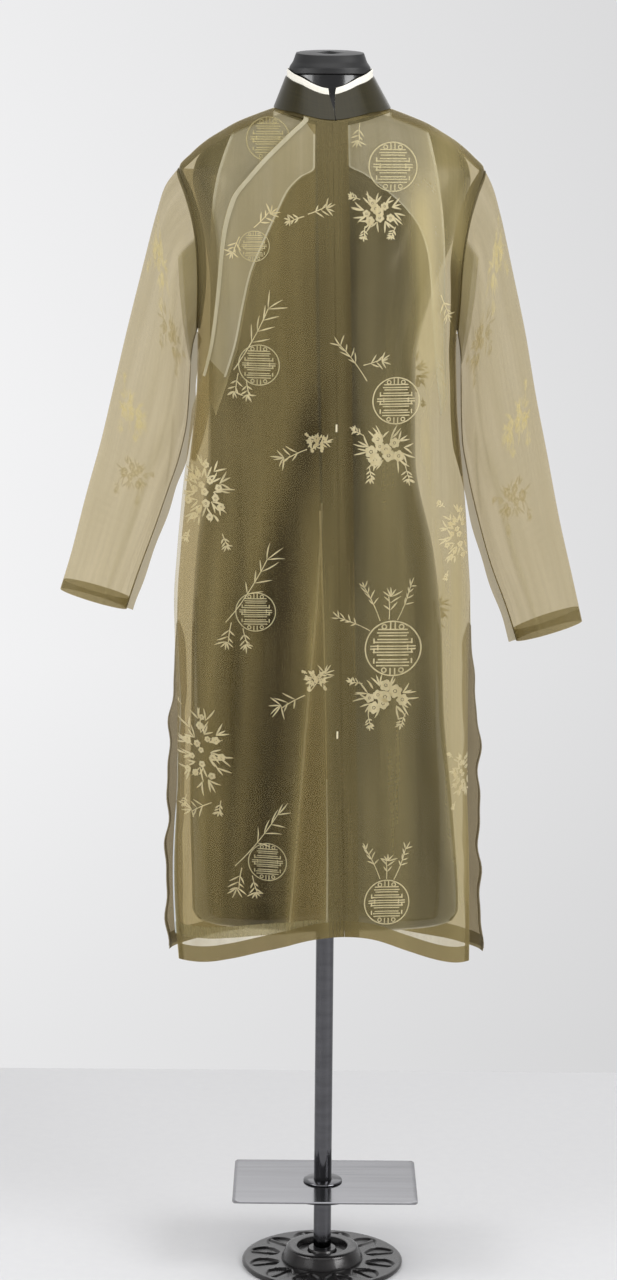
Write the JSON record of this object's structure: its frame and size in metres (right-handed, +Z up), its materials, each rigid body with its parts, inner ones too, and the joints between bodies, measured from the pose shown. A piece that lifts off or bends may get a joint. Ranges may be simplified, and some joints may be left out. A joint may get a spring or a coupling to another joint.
{
  "type": "ao dai tunic on a limbless dress form with a stand",
  "caption": "Knee-length ao dai of sheer olive silk with a stand collar, slanted closing, long sleeves and side slits, worn on a black limbless dress form on a steel pole stand.",
  "frame": {"origin": "on the floor, at the axis of the stand's pole", "axes": "+Z up along the pole; the tunic's front faces -Y and the wearer's left is +X"},
  "size_m": [0.714, 0.2483, 1.6989],
  "materials": {
    "olive_organza": "sheer silk organza, soft sheen",
    "olive_organza_doubled": "doubled silk organza",
    "olive_satin": "satin",
    "ivory_silk": "ivory silk",
    "black_form": "gloss black moulded shell",
    "polished_steel": "polished steel",
    "black_iron": "black painted casting"
  },
  "bodies": {
    "root": {"back_left": "olive_organza", "back_right": "olive_organza", "base_disc": "black_iron", "base_hub": "black_iron", "closing_binding": "ivory_silk", "collar_lining": "ivory_silk", "collar_stand": "olive_satin", "cuff_band_left": "olive_organza_doubled", "cuff_band_right": "olive_organza_doubled", "form_body": "black_form", "front_inner_right": "olive_organza", "front_outer_left": "olive_organza", "front_outer_right": "olive_organza", "hem_back_left": "olive_organza_doubled", "hem_back_right": "olive_organza_doubled", "hem_inner_right": "ivory_silk", "hem_outer_left": "olive_organza_doubled", "hem_outer_right": "olive_organza_doubled", "neck_cap": "black_form", "plate": "polished_steel", "plate_dish": "polished_steel", "pole": "polished_steel", "pole_washer": "polished_steel", "seam_back_left": "olive_organza_doubled", "seam_back_right": "olive_organza_doubled", "seam_outer_left": "olive_organza_doubled", "seam_outer_right": "olive_organza_doubled", "sleeve_left": "olive_organza", "sleeve_right": "olive_organza", "slit_back_left": "olive_organza_doubled", "slit_back_right": "olive_organza_doubled", "slit_inner_right": "ivory_silk", "slit_outer_left": "olive_organza_doubled", "slit_outer_right": "olive_organza_doubled", "yoke_lining_left": "ivory_silk", "yoke_lining_right": "ivory_silk"}
  },
  "joints": []
}
